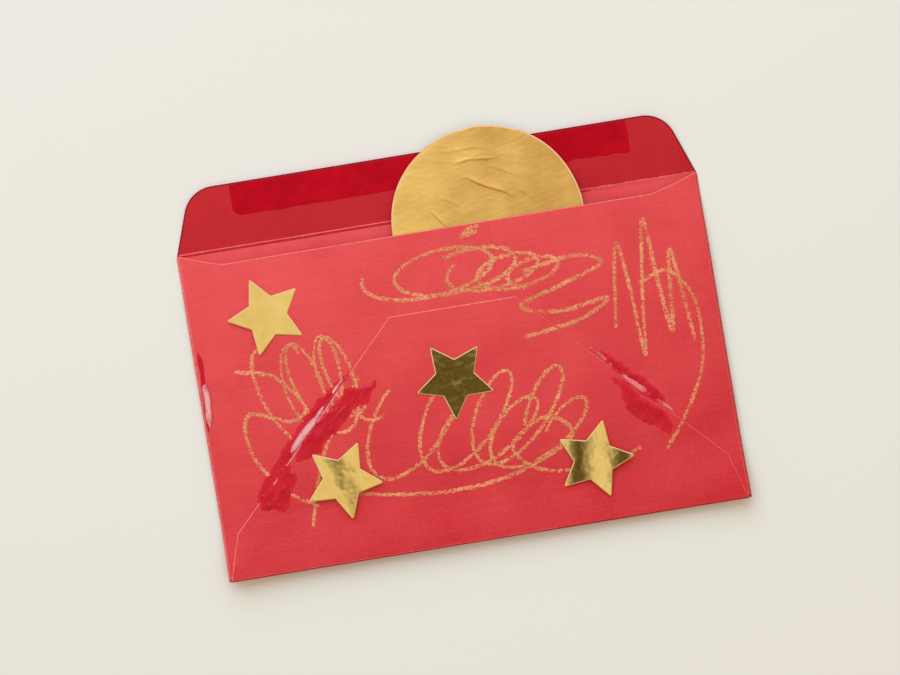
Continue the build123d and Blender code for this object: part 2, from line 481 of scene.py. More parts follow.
def spread(tree, value, low, high):
    """A value stretched from low..high to 0..1."""
    made = node(tree, "ShaderNodeMapRange", Value=value)
    made.inputs["From Min"].default_value = low
    made.inputs["From Max"].default_value = high
    return made.outputs["Result"]


def mix(tree, factor, a, b):
    """Two colours mixed by a factor."""
    made = tree.nodes.new("ShaderNodeMix")
    made.data_type = "RGBA"
    colour_a, colour_b = [s for s in made.inputs if s.type == "RGBA"]
    for slot, value in ((made.inputs[0], factor), (colour_a, a), (colour_b, b)):
        if isinstance(value, bpy.types.NodeSocket):
            tree.links.new(value, slot)
        else:
            slot.default_value = value
    return [s for s in made.outputs if s.type == "RGBA"][0]


def bump(tree, shader, height, strength, distance):
    """Fine relief on a shader."""
    made = node(tree, "ShaderNodeBump", Height=height, Strength=strength, Distance=distance)
    tree.links.new(made.outputs["Normal"], shader.inputs["Normal"])


def paper_material(name, dark, light, pale):
    """Dyed paper: faint laid streaks along the width, fibres, a painted light gradient that makes it lighter
    towards the top and the left, and paler folds, partly wear and partly painted highlight.
    """
    mat, tree, shader, place = new_material(name, 0.82, specular=0.12)
    streak = noise(tree, place, 1.0, 2.0, (70, 1500, 200))
    fibre = noise(tree, place, 2300, 4.0, (0.7, 1, 1))
    cloud = noise(tree, place, 55, 3.0)
    spot = node(tree, "ShaderNodeSeparateXYZ", Vector=place).outputs
    # The Y and X terms are painted light: the paper gets lighter towards the top and the left, the lamp's
    # side, and darker towards the bottom right.
    tone = weighted(tree, (streak, 0.09), (fibre, 0.24), (cloud, 0.24), (spot["Y"], 2.6), (spot["X"], -0.5))
    colour = mix(tree, spread(tree, tone, 0.105, 0.485), dark, light)
    # The pale attribute mixes in the pale colour: wear on folds and painted highlight on lit folds and on the
    # crease ridge.
    wear_and_highlight = node(tree, "ShaderNodeAttribute", attribute_name="pale").outputs["Fac"]
    ragged = maths(tree, "MULTIPLY", wear_and_highlight, spread(tree, fibre, 0.25, 0.65), True)
    colour = mix(tree, ragged, colour, pale)
    tree.links.new(colour, shader.inputs["Base Color"])
    relief = maths(tree, "ADD", fibre, maths(tree, "MULTIPLY", streak, 0.15))
    bump(tree, shader, relief, 0.09, 0.0001)
    return mat


def cut_edge_material(name, dark, light):
    """The cut edge of dyed paper, in copies paler or darker as painted light and shade."""
    mat, tree, shader, place = new_material(name, 0.85, specular=0.15)
    fleck = noise(tree, place, 1800, 3.0)
    colour = mix(tree, spread(tree, fleck, 0.3, 0.7), dark, light)
    tree.links.new(colour, shader.inputs["Base Color"])
    bump(tree, shader, fleck, 0.2, 0.00008)
    return mat


def gum_material():
    """Gum: a glossy deeper red, a little mottled."""
    mat, tree, shader, place = new_material("gum_red", 0.25, specular=0.06)
    mottle = noise(tree, place, 420, 4.0, (0.7, 1, 1))
    patch = noise(tree, place, 60, 2.0)
    tone = weighted(tree, (mottle, 0.6), (patch, 0.4))
    colour = mix(tree, spread(tree, tone, 0.35, 0.68), srgb(180, 0, 20), srgb(204, 6, 34))
    tree.links.new(colour, shader.inputs["Base Color"])
    rough = maths(tree, "ADD", 0.10, maths(tree, "MULTIPLY", mottle, 0.25))
    tree.links.new(rough, shader.inputs["Roughness"])
    bump(tree, shader, mottle, 0.15, 0.0002)
    return mat


def gold_paint_material():
    """Thick satin gold paint with brush marks, and painted light: lighter towards the left, darker towards
    the right.
    """
    mat, tree, shader, place = new_material("gold_paint", 0.40, metallic=0.62)
    turned = node(tree, "ShaderNodeMapping", Vector=place, Rotation=(0, 0, BRUSH_TURN)).outputs["Vector"]
    brush = noise(tree, turned, 1.0, 5.0, (130, 1100, 300))
    cloud = noise(tree, place, 95, 3.0)
    fleck = noise(tree, place, 3200, 2.0)
    spot = node(tree, "ShaderNodeSeparateXYZ", Vector=place).outputs
    # Painted light: the paint gets darker towards the right and lighter at the left edge, the lamp's side.
    painted_light_drift = maths(tree, "SUBTRACT", spot["X"], 0.013)
    painted_left_highlight = spread(tree, spot["X"], 0.006, -0.012)
    tone = weighted(tree, (brush, 0.22), (cloud, 0.60), (fleck, 0.2), (painted_light_drift, -4.0), (painted_left_highlight, 0.12))
    colour = mix(tree, spread(tree, tone, 0.36, 0.68), srgb(201, 151, 72), srgb(233, 188, 100))
    tree.links.new(colour, shader.inputs["Base Color"])
    rough = maths(tree, "ADD", 0.30, maths(tree, "MULTIPLY", cloud, 0.24))
    tree.links.new(rough, shader.inputs["Roughness"])
    bump(tree, shader, maths(tree, "ADD", brush, maths(tree, "MULTIPLY", fleck, 0.25)), 0.18, 0.00025)
    return mat


def card_material():
    """Bare cut card with a smear of gold."""
    mat, tree, shader, place = new_material("cut_card", 0.8, specular=0.2)
    fleck = noise(tree, place, 900, 3.0)
    smear = noise(tree, place, 160, 2.0)
    card = mix(tree, fleck, srgb(250, 186, 142), srgb(255, 212, 170))
    colour = mix(tree, spread(tree, smear, 0.50, 0.68), card, srgb(232, 182, 116))
    tree.links.new(colour, shader.inputs["Base Color"])
    bump(tree, shader, fleck, 0.3, 0.00015)
    return mat


def foil_material():
    """Mirror-like gold foil, faintly rippled."""
    mat, tree, shader, place = new_material("gold_foil", 0.13, metallic=1.0)
    ripple = noise(tree, place, 190, 2.0)
    fleck = noise(tree, place, 2600, 3.0)
    colour = mix(tree, spread(tree, ripple, 0.3, 0.7), srgb(234, 194, 106), srgb(246, 212, 130))
    tree.links.new(colour, shader.inputs["Base Color"])
    rough = maths(tree, "ADD", 0.03, maths(tree, "MULTIPLY", fleck, 0.06))
    tree.links.new(rough, shader.inputs["Roughness"])
    bump(tree, shader, maths(tree, "ADD", ripple, maths(tree, "MULTIPLY", fleck, 0.03)), 0.03, 0.002)
    return mat


def foil_rim_material():
    """The pale cut rim of a foil sticker."""
    mat, tree, shader, place = new_material("foil_rim", 0.6, specular=0.2)
    fleck = noise(tree, place, 1500, 2.0)
    colour = mix(tree, fleck, srgb(240, 178, 122), srgb(254, 216, 164))
    tree.links.new(colour, shader.inputs["Base Color"])
    return mat


def wax_material():
    """Gold-ochre crayon wax, with olive specks of its metal powder where it lies thick."""
    mat, tree, shader, place = new_material("crayon_wax", 0.5, specular=0.45)
    fleck = noise(tree, place, 1500, 4.0)
    drift = noise(tree, place, 120, 2.0)
    tone = weighted(tree, (fleck, 0.65), (drift, 0.35))
    colour = mix(tree, spread(tree, tone, 0.37, 0.64), srgb(212, 96, 64), srgb(252, 176, 124))
    powder = spread(tree, noise(tree, place, 2600, 2.0), 0.50, 0.60)
    thick = spread(tree, noise(tree, place, 48, 1.0), 0.36, 0.60)
    colour = mix(tree, maths(tree, "MULTIPLY", powder, thick, True), colour, srgb(186, 128, 44))
    tree.links.new(colour, shader.inputs["Base Color"])
    bump(tree, shader, fleck, 0.4, 0.0002)
    return mat


def glue_material(name, dark, light, crest):
    """Dried glue: glossy, with thin and thick places, and another tone where it is thickest."""
    mat, tree, shader, place = new_material(name, 0.15, specular=0.22)
    flow = noise(tree, place, 210, 3.0)
    fleck = noise(tree, place, 1300, 3.0)
    tone = weighted(tree, (flow, 0.7), (fleck, 0.3))
    colour = mix(tree, spread(tree, tone, 0.34, 0.66), dark, light)
    thick = node(tree, "ShaderNodeAttribute", attribute_name="pale").outputs["Fac"]
    deep = maths(tree, "MULTIPLY", spread(tree, thick, 0.35, 1.0), spread(tree, tone, 0.34, 0.56), True)
    colour = mix(tree, deep, colour, crest)
    tree.links.new(colour, shader.inputs["Base Color"])
    bump(tree, shader, maths(tree, "ADD", flow, maths(tree, "MULTIPLY", fleck, 0.2)), 0.35, 0.0004)
    return mat


FACE = paper_material("red_paper_face", srgb(205, 45, 54), srgb(244, 94, 97), srgb(255, 156, 152))
# A darker copy of the face paper, painted shade: on the open flap's top, below the crease and on the right
# and bottom folds.
SHADED_PAPER = paper_material("red_paper_painted_shade", srgb(167, 14, 28), srgb(206, 46, 53), srgb(240, 128, 118))
# The pale cut edge is partly the paper's paler core and partly painted highlight on edges that face the lamp;
# the dim one is the same edge as painted shade, for edges facing away.
CUT = cut_edge_material("paper_cut_edge_pale_and_lit", srgb(238, 104, 102), srgb(252, 158, 148))
DIM_SHADED_CUT = cut_edge_material("cut_edge_dim_painted_shade", srgb(224, 78, 82), srgb(244, 118, 114))
# A dark copy of the cut edge, painted shade: on the open flap's cut edges and in spots along the crease.
DARK_SHADED_CUT = cut_edge_material("cut_edge_dark_painted_shade", srgb(112, 10, 30), srgb(150, 26, 42))
GUM = gum_material()
PAINT = gold_paint_material()
CARD = card_material()
FOIL = foil_material()
FOIL_RIM = foil_rim_material()
WAX = wax_material()
SMEAR = glue_material("glue_smear", srgb(207, 10, 38), srgb(220, 36, 56), srgb(192, 0, 28))
BEAD = glue_material("glue_bead", srgb(186, 30, 54), srgb(214, 80, 92), srgb(242, 180, 184))
THIN_BEAD = glue_material("glue_thin_bead", srgb(200, 36, 56), srgb(222, 84, 94), srgb(240, 138, 144))


# Envelope

def placed(obj, body, slot, *nodes):
    """Ties a piece to its body and hides the CAD nodes it stands for. The slot argument is not used."""
    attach(obj, body)
    if nodes:
        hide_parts(*nodes)
    return obj


def mouth_curve(side, start):
    """The dip of the mouth on one side, from the end of the straight out to the crease's end."""
    rise = np.linspace(0, 1, 14)
    x = start + (FOLD_X - start) * rise
    y = MOUTH_Y + (MOUTH_END_Y - MOUTH_Y) * (0.72 * rise + 0.28 * rise ** 2) * smooth(rise / 0.25) ** 0.35
    return [(side * a, b) for a, b in zip(x, y)]


def crease_mark(t, groove_shade, ragged):
    """Material at a place across the crease: plain paper, the darker paper as painted shade of a groove, or
    the dark edge copy as painted shade.
    """
    if t < -0.2 and groove_shade > -0.55 * t:
        return 1
    return 2 if t > 0 and ragged > 0.45 else 0


def make_crease():
    """The flap's crease: a ridge of paper, paler on top as wear and painted highlight, with painted shade
    below it for a groove, and dark painted shade in ragged spots on its flap side towards its right end.
    """
    steps = 420
    start_x = -69.8
    length = 139.3
    across = np.array([-0.80, -0.66, -0.52, -0.38, -0.24, -0.12, 0.0, 0.12, 0.24])
    verts = []
    pale = []
    marks = []
    for k in range(steps + 1):
        x = start_x + length * k / steps
        drift = 0.10 * (float(grain(x, 0.0, 11, 1, 5)) - 0.5)
        tall = 0.10 + 0.14 * float(grain(x, 7.0, 5.0, 1, 7))
        groove_shade = float(smooth((46 - x) / 12)) * (0.55 + 0.6 * float(grain(x, 2.0, 3.0, 1, 11)))
        ragged = float(smooth((x - 20) / 20)) * float(grain(x, 5.0, 1.5, 1, 12))
        for j, t in enumerate(across):
            ridge = max(0.0, 1 - (t / 0.25) ** 2)
            inner = 0.03 if 0 < j < len(across) - 1 else 0.0
            verts.append((x, CREASE_Y + drift + t, 0.19 + inner + tall * ridge ** 1.5))
            # Paler along the top of the ridge: wear and painted highlight.
            pale.append(ridge * (0.22 + 0.62 * float(grain(x, t, 1.6, 0.7, 9))))
        if k < steps:
            marks += [crease_mark(t, groove_shade, ragged) for t in across[:-1]]
    faces = strip_faces(steps + 1, len(across))
    marks += [0] * (len(faces) - len(marks))
    crease = make_object("crease_ridge", verts, faces, marks, [FACE, SHADED_PAPER, DARK_SHADED_CUT], pale=pale)
    placed(crease, "envelope", "red_paper")


def make_envelope():
    """The folded sheet: back, side flaps, bottom flap and the rolls of its folded edges."""
    back_rim = [(-FOLD_X, -FOLD_Y), (FOLD_X, -FOLD_Y), (FOLD_X, BACK_TOP_Y), (-FOLD_X, BACK_TOP_Y)]
    back = sheet("back_panel_sheet", back_rim, back_mid, PAPER, 1.4, [FACE], bevel=0.05)
    placed(back, "envelope", "red_paper", "back_panel")

    left_rim = [(-FOLD_X, SIDE_FLAP_LOW_Y), (-TUCK_X, TUCK_Y), (LAP_X, TUCK_Y), (LAP_X, MOUTH_Y)]
    # Edges facing up and left, towards the lamp, are pale (painted highlight); the lap edge facing right is
    # dim (painted shade) low down and plain face paper higher up.
    left = sheet("left_side_flap_sheet", left_rim + mouth_curve(-1, MOUTH_LEFT_X), left_mid, PAPER, 1.1,
                 [FACE, DIM_SHADED_CUT, CUT], bevel=0.19,
                 edge_mark=lambda x, y, out: 2 if out[0] < 0.9 else int(y < 25))
    placed(left, "envelope", "red_paper", "left_side_flap")

    right_rim = [(FOLD_X, SIDE_FLAP_LOW_Y), (TUCK_X, TUCK_Y), (RIGHT_FLAP_X, TUCK_Y), (RIGHT_FLAP_X, MOUTH_Y)]
    right = sheet("right_side_flap_sheet", right_rim + mouth_curve(1, MOUTH_RIGHT_X), right_mid, PAPER, 1.1,
                  [FACE, CUT], bevel=0.19, seed=2)
    placed(right, "envelope", "red_paper", "right_side_flap")

    # The edges right of x = 17 face away from the lamp and are dim (painted shade); the others are pale
    # (painted highlight).
    bottom = sheet("bottom_flap_sheet", BOTTOM_RIM, bottom_mid, PAPER, 1.1, [FACE, DIM_SHADED_CUT, CUT],
                   bevel=0.22, seed=3, edge_mark=lambda x, y, out: 1 if x > 17 else 2)
    placed(bottom, "envelope", "red_paper", "bottom_flap")

    # The left roll faces the lamp and is paler, wear and painted highlight; the right and bottom rolls take
    # the darker paper copy, painted shade.
    for name, start, end, outward, reach, wear_and_highlight, material in (
        ("left_fold_roll", (-FOLD_X, 43.6), (-FOLD_X, -43.8), (-1, 0), (0.72, 0.45), 0.6, FACE),
        ("right_fold_roll", (FOLD_X, 43.6), (FOLD_X, -43.8), (1, 0), (0.38, 0.60), 0.4, SHADED_PAPER),
        ("bottom_fold_roll", (-69.6, -FOLD_Y), (69.6, -FOLD_Y), (0, -1), (0.3, 0.3), 0.0, SHADED_PAPER),
    ):
        roll = fold_roll(name, start, end, outward, reach, wear_and_highlight, material, len(name))
        placed(roll, "envelope", "red_paper")


def make_flap():
    """The open flap, bending out of the back panel at the crease, with its band of gum."""
    corners = [(-70.3, FOLD_Y), (70.05, FOLD_Y), (63.6, FLAP_TIP_Y), (-64.2, FLAP_TIP_Y)]
    rim = rounded(corners, [0, 0, FLAP_CORNER_R, FLAP_CORNER_R], 14)
    # Its top takes the darker paper copy and its cut edges the dark edge copy: painted shade. Its underside
    # is the face paper.
    flap = sheet("closure_flap_sheet", rim, flap_mid, PAPER, 0.9, [SHADED_PAPER, FACE, DARK_SHADED_CUT], bevel=0.40,
                 under_mark=1, edge_mark=lambda x, y, out: 0 if out[1] < -0.9 else 2)
    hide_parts("closure_flap")
    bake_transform(flap)

    gum_rim = [(-GUM_HALF, GUM_LOW_Y), (GUM_HALF, GUM_LOW_Y), (GUM_HALF, GUM_TOP_Y), (-GUM_HALF, GUM_TOP_Y)]
    band = resample(rounded(gum_rim, [2.5, 0.8, 0.4, 0.4], 8), 0.9)
    ragged = np.where(band[:, 1] < 53, 0.35 + 0.5 * smooth((band[:, 0] - 5) / 30), 0.12)
    band[:, 1] += ragged * (grain(band[:, 0], band[:, 1], 2.2, 3, 8) - 0.5)
    band[:, 0] += 0.5 * smooth((band[:, 0] - 53) / 0.4) * (grain(band[:, 0], band[:, 1], 9, 1.7, 9) - 0.5)
    gum = sheet("gum_strip_film", band, lambda x, y: flap_mid(x, y) + (PAPER + GUM_THICK) / 2, GUM_THICK, 0.9,
                [GUM], bevel=0.12)
    placed(gum, "flap", "gum", "gum_strip")


# Coin

def coin_rim():
    """Outline of the hand-cut disc: nearly round, with a short straight cut and a nick."""
    a = np.linspace(0, 2 * pi, 220, endpoint=False)
    r = COIN_R + 0.10 * np.sin(3 * a + 0.6) + 0.07 * np.sin(7 * a + 2.0)
    cut = radians(98)
    off = (a - cut + pi) % (2 * pi) - pi
    r = np.minimum(r, (COIN_R - 0.28) / np.cos(np.clip(off, -1.2, 1.2)))
    r -= 0.35 * np.exp(-((a - radians(107)) / 0.018) ** 2)
    return np.stack([COIN[0] + r * np.cos(a), COIN[1] + r * np.sin(a)], 1)


BRUSH_RIDGES = (
    (14.8, 48.6, 18.0, -30, 0.36, 1.2),
    (12.0, 56.2, 14.0, 1, 0.27, 1.2),
    (0.2, 42.2, 7.0, -48, 0.28, 0.9),
    (9.5, 59.4, 16.0, -4, 0.10, 1.0),
    (19.0, 52.4, 11.0, -22, 0.12, 0.9),
    (4.0, 46.0, 9.0, -36, 0.10, 0.9),
    (24.0, 45.2, 7.0, -40, 0.14, 0.7),
)


def paint_relief(x, y):
    """Thickness of the brushed paint above its thinnest."""
    c, s = cos(BRUSH_TURN), sin(BRUSH_TURN)
    along, across = x * c + y * s, -x * s + y * c
    z = 0.02 * grain(along, across, 6, 0.9, 21) + 0.05 * grain(along, across, 9, 3.4, 22)
    for size, seed, height in ((7.0, 24, 0.03), (4.5, 27, 0.018)):
        drag = grain(along, across, size, 0.45 * size, seed)
        patches = smooth(grain(x, y, 6, 6, seed + 1) * 2.4 - 0.7)
        z = z + height * (1 - smooth(np.abs(drag - 0.5) / 0.09)) * patches
    for rx, ry, length, turn, height, fade in BRUSH_RIDGES:
        c, s = cos(radians(turn)), sin(radians(turn))
        u = (x - rx) * c + (y - ry) * s
        v = -(x - rx) * s + (y - ry) * c + 0.007 * u * u + 0.25 * np.sin(u / 1.9 + rx)
        ends = smooth((length / 2 - np.abs(u)) / (0.35 * length))
        z = z + height * ends * smooth(v / 0.30 + 0.5) * np.exp(-np.maximum(v, 0) / fade)
    edge = COIN_R - np.hypot(x - COIN[0], y - COIN[1])
    return z * smooth(edge / 1.6)


def make_coin():
    """The card disc and its two coats of gold paint."""
    rim = coin_rim()
    coat = (CARD_THICK + PAINT_THICK) / 2
    core = sheet("coin_card", rim, coin_mid, CARD_THICK, 1.2, [CARD], bevel=0.05)
    placed(core, "coin", "card", "coin_core")
    front = sheet("coin_paint_front", rim, lambda x, y: coin_mid(x, y) + coat, PAINT_THICK, 0.30,
                  [PAINT, CARD], bevel=0.36, dome=paint_relief)
    placed(front, "coin", "gold_paint", "coin_gold_front")
    back = sheet("coin_paint_back", rim, lambda x, y: coin_mid(x, y) - coat, PAINT_THICK, 1.0,
                 [PAINT], bevel=0.05)
    placed(back, "coin", "gold_paint", "coin_gold_back")


# Stars

def make_star(name, x0, y0, turn, tilt, spring, waves, creased):
    """A foil star resting on the paper at its own slight tilt, gently waved, its tips a little sprung."""
    k = np.arange(10)
    r = np.where(k % 2, STAR_WAIST_R, STAR_R)
    a = np.radians(turn + 36 * k)
    corners = np.stack([x0 + r * np.cos(a), y0 + r * np.sin(a)], 1)
    rim = rounded(corners, [0.35, 0.15] * 5, 3)
    height, wave_x, wave_y, phase = waves

    def shape(x, y):
        u, v = x - x0, y - y0
        wave = height * np.sin(u * wave_x + v * wave_y + phase)
        crinkle = 0.03 * grain(u + 0.4 * v, v, 1.9, 1.3, len(name))
        crinkle = crinkle + 0.02 * grain(u, v - 0.5 * u, 0.9, 1.6, 7)
        tips = spring * (np.hypot(u, v) / STAR_R) ** 4
        return tilt[0] * u + tilt[1] * v + wave + creased * crinkle + tips

    spread_x, spread_y = resample(rim, 0.8).T
    shares = np.linspace(0, 1, 12)[:, None]
    test_x = (x0 + shares * (spread_x - x0)).ravel()
    test_y = (y0 + shares * (spread_y - y0)).ravel()
    rest = (face_top(test_x, test_y) - shape(test_x, test_y)).max() + STAR_GAP
    # The pale rim goes only on edges facing up and left, towards the lamp, and plain foil on the lower right
    # ones: painted highlight and painted shade.
    star = sheet(name + "_foil", rim, lambda x, y: rest + shape(x, y), FOIL_THICK, 0.42, [FOIL, FOIL_RIM],
                 bevel=0.25, edge_mark=lambda x, y, out: int(out[1] - 0.4 * out[0] > -0.25))
    placed(star, "envelope", "gold_foil", name)


def make_stars():
    """The four stars: place, turn, tilt, spring of the tips, wave and creasing of each."""
    make_star("star_upper_left", -49.0, 24.3, 106.5, (0.025, 0.0), 0.02, (0, 0, 0, 0), 0.04)
    make_star("star_centre", -2.4, -0.4, 118.7, (0.0, 0.0), 0.06, (0.006, 0.45, 0.2, 0.5), 0.26)
    make_star("star_lower_left", -36.0, -21.9, 59.4, (0.012, 0.0), 0.03, (0.021, 0.50, 0.20, 2.99), 0.10)
    make_star("star_lower_right", 30.7, -27.3, 68.9, (0.022, -0.025), 0.03, (0.17, 0.266, -0.044, -0.5),
              0.10)


# Dried glue

def blot(name, points, thick, nodes, seed):
    """A flat spill of dried glue on the face: ridged in its middle, thin at a ragged rim."""
    rim = resample(closed_curve(points), 0.4)
    out = rim - np.roll(rim, 6, 0)
    out = np.stack([out[:, 1], -out[:, 0]], 1) / np.maximum(np.hypot(out[:, 0], out[:, 1]), 1e-9)[:, None]
    coarse = grain(rim[:, 0], rim[:, 1], 1.6, 1.6, seed)
    fine = grain(rim[:, 0], rim[:, 1], 0.7, 0.7, seed + 1)
    rim = rim + out * (0.9 * coarse + 0.5 * fine - 0.7)[:, None]

    def body(x, y):
        along, across = (x + y) * 0.707, (y - x) * 0.707
        ridges = 0.30 + 1.2 * grain(along, across, 3.6, 0.9, seed + 2) * grain(x, y, 2.4, 2.4, seed + 3)
        return thick * smooth(rim_distance(x, y, rim) / 1.0) * ridges * 1.5

    obj = sheet(name, rim, lambda x, y: face_top(x, y) + GLUE_FILM / 2, GLUE_FILM, 0.4, [SMEAR], bevel=0.08,
                dome=body, seed=seed, pale=lambda x, y: body(x, y) / thick)
    placed(obj, "envelope", "dried_glue", *nodes)


def bead(name, points, width, height, seed, material, nodes=()):
    """A raised bead of glue along a line, uneven in width."""
    line = resample(sweep(points), 0.3, closed=False)
    n = len(line)
    heading = np.gradient(line, axis=0)
    heading /= np.hypot(heading[:, 0], heading[:, 1])[:, None]
    side = np.stack([-heading[:, 1], heading[:, 0]], 1)
    t = np.linspace(0, 1, n)
    ends = np.sin(np.clip(np.minimum(t, 1 - t) / 0.16, 0.02, 1) * pi / 2)
    swell = (0.35 + 0.95 * grain(t * n, 0 * t, 16, 1, seed)) * ends
    arc = np.linspace(pi, 0, 9)
    verts = []
    for k in range(n):
        for a in arc:
            x, y = line[k] + side[k] * width * swell[k] * cos(a)
            verts.append((x, y, float(face_top(x, y)) - 0.03 + height * swell[k] * sin(a)))
    faces = strip_faces(n, len(arc))
    crest = np.tile(np.sin(arc), n)
    obj = make_object(name, verts, faces, [0] * len(faces), [material], pale=crest)
    placed(obj, "envelope", "dried_glue", *nodes)


def make_glue():
    """Smears and beads of glue at the two slanting seams and the left edge."""
    blot("left_seam_smear",
         [(-23.2, 2.4), (-26.2, -2.6), (-30.5, -4.2), (-35.2, -8.8), (-39.0, -11.0), (-42.0, -14.2),
          (-47.5, -14.8), (-45.6, -10.2), (-40.4, -5.2), (-35.0, -1.2), (-30.3, 2.2), (-26.5, 2.0)],
         0.18, ("left_seam_glue",), 31)
    blot("left_seam_patch",
         [(-49.6, -15.2), (-48.4, -19.0), (-50.0, -23.3), (-52.0, -28.0), (-55.5, -26.8), (-58.6, -26.6),
          (-59.0, -23.0), (-56.0, -20.2), (-53.0, -17.0)],
         0.22, (), 34)
    blot("left_seam_film",
         [(-58.5, -24.2), (-50.0, -15.4), (-42.0, -7.2), (-34.0, 1.0), (-29.5, 5.8), (-33.5, 4.6),
          (-38.2, 1.0), (-43.8, -4.2), (-49.8, -10.4), (-54.8, -16.6), (-59.0, -21.6)],
         0.10, (), 36)
    bead("left_seam_lump", [(-57.6, -25.8), (-55.2, -25.4), (-53.2, -26.4)], 1.1, 0.5, 39, SMEAR)
    bead("left_seam_ridge", [(-43.0, -11.6), (-38.5, -7.8), (-33.0, -3.6), (-27.5, 0.4)],
         0.8, 0.34, 40, SMEAR)
    bead("left_seam_bead", [(-37.6, -1.4), (-41.0, -5.0), (-44.8, -8.6), (-49.4, -13.4)], 1.05, 0.6, 41, BEAD)
    # A thin pale bead along the bottom flap's edge through the glue: a painted highlight of that edge.
    bead("left_seam_highlight_thread", [(-57.0, -22.8), (-50.0, -15.6), (-46.2, -11.7), (-38.9, -4.1), (-31.5, 3.4)],
         0.24, 0.2, 45, BEAD)
    bead("left_seam_drop", [(-31.6, 4.8), (-33.4, 3.0), (-35.6, 0.8)], 0.7, 0.35, 43, BEAD)
    blot("right_seam_smear",
         [(38.6, -6.6), (40.4, -9.4), (40.8, -13.2), (43.0, -17.6), (47.0, -20.8), (51.8, -24.0),
          (52.0, -19.8), (48.6, -15.4), (45.0, -12.0), (42.0, -8.0)],
         0.20, ("right_seam_glue",), 51)
    blot("right_seam_patch",
         [(36.8, 1.0), (41.5, -2.6), (45.8, -7.0), (49.8, -11.4), (52.8, -16.8), (49.5, -15.2),
          (44.0, -9.8), (39.5, -4.6)],
         0.18, (), 54)
    bead("right_seam_bead", [(41.0, -5.6), (45.0, -9.6), (49.4, -13.9), (53.8, -18.2)],
         0.9, 0.32, 55, THIN_BEAD)
    bead("right_seam_thread", [(34.2, 2.5), (37.0, -0.6), (40.2, -4.0)], 0.7, 0.22, 58, THIN_BEAD)
    bead("left_edge_smear", [(-68.8, 18.0), (-68.5, 13.5), (-68.7, 9.0), (-69.0, 2.0), (-69.4, -4.6)],
         0.75, 0.34, 61, SMEAR, ("left_edge_glue",))
    bead("left_edge_bead", [(-68.6, 9.6), (-68.3, 6.0), (-68.5, 2.0), (-68.9, -3.0)], 1.15, 0.6, 66, BEAD)


# Crayon

def loops(x0, y0, turns, run, rise, wide, tall, slant, start=0.0, narrow=1.0):
    """A running row of loops, as a hand draws them."""
    t = np.linspace(0, turns * 2 * pi, int(turns * 90))
    share = t / t[-1]
    size = 1 + (narrow - 1) * share
    px = wide * size * np.cos(t + start)
    py = tall * size * np.sin(t + start)
    return np.stack([x0 + run * share + px + slant * py, y0 + rise * share + py], 1)


def zigzag(x0, y0, strokes, run, tall, shrink, slant):
    """Steep up and down strokes with rounded turns."""
    t = np.linspace(0, strokes, strokes * 60)
    swing = np.arcsin(0.985 * np.sin(t * pi - pi / 2)) / 1.4
    size = 1 - shrink * t / strokes
    return np.stack([x0 + run * t / strokes + slant * swing, y0 + tall * size * swing], 1)


def crayon_line(name, path, width, seed, press):
    """One crayon stroke: a closed strip, its grains of wax above the paper and its gaps inside it."""
    step = np.hypot(*np.diff(path, axis=0).T)
    travel = np.concatenate([[0], np.cumsum(step)])
    n = int(travel[-1] / 0.15)
    s = np.linspace(0, travel[-1], n)
    line = np.stack([np.interp(s, travel, path[:, 0]), np.interp(s, travel, path[:, 1])], 1)
    heading = np.gradient(line, axis=0)
    heading /= np.maximum(np.hypot(heading[:, 0], heading[:, 1]), 1e-9)[:, None]
    side = np.stack([-heading[:, 1], heading[:, 0]], 1)
    rng = np.random.default_rng(seed)
    half = width / 2 * (0.85 + 0.4 * grain(s, 0 * s, 14, 1, seed))
    across = np.linspace(-1, 1, 11)
    grid = line[:, None, :] + side[:, None, :] * (half[:, None] * across[None, :])[:, :, None]
    grid = grid + (rng.random(grid.shape) - 0.5) * 0.09
    x, y = grid[..., 0], grid[..., 1]
    tooth = 0.58 * grain(x, y, 0.42, 0.34, 71) + 0.26 * grain(x, y, 1.4, 0.5, 72)
    tooth = tooth + 0.34 * rng.random(x.shape)
    pressure = press * (0.8 + 0.4 * grain(s, 0 * s, 9, 1, seed + 5))
    ends = smooth(np.minimum(s, s[-1] - s) / 2.0)
    need = 0.51 + 0.40 * np.abs(across[None, :]) ** 2.2 - 0.10 * (pressure * ends)[:, None]
    step_near = rim_distance(x, y, BOTTOM_RIM) < 0.3
    wax = (tooth > need) & ~step_near
    wax[:, [0, -1]] = False
    wax[[0, -1], :] = False
    lift = np.where(wax, 0.05 + 0.03 * rng.random(x.shape), -0.05)
    lift[:, [0, -1]] = -0.10
    beside_lap = (x > LAP_X) & ~inside(x, y, BOTTOM_RIM)
    lap_step = left_mid(x, y) - right_mid(x, y)
    slope = np.where(beside_lap, lap_step * (1 - smooth((x - LAP_X) / 0.6)), 0)
    z = np.where(step_near, lower_top(x, y), face_top(x, y) + slope) + lift
    m = len(across)
    index = np.arange(n * m).reshape(n, m)
    quads = np.stack([index[1:, :-1], index[1:, 1:], index[:-1, 1:], index[:-1, :-1]], -1)
    faces = quads.reshape(-1, 4).tolist() + closing_faces(n, m)
    verts = np.column_stack([x.ravel(), y.ravel(), z.ravel()])
    obj = make_object(name, verts, faces, [0] * len(faces), [WAX])
    placed(obj, "envelope", "red_paper")


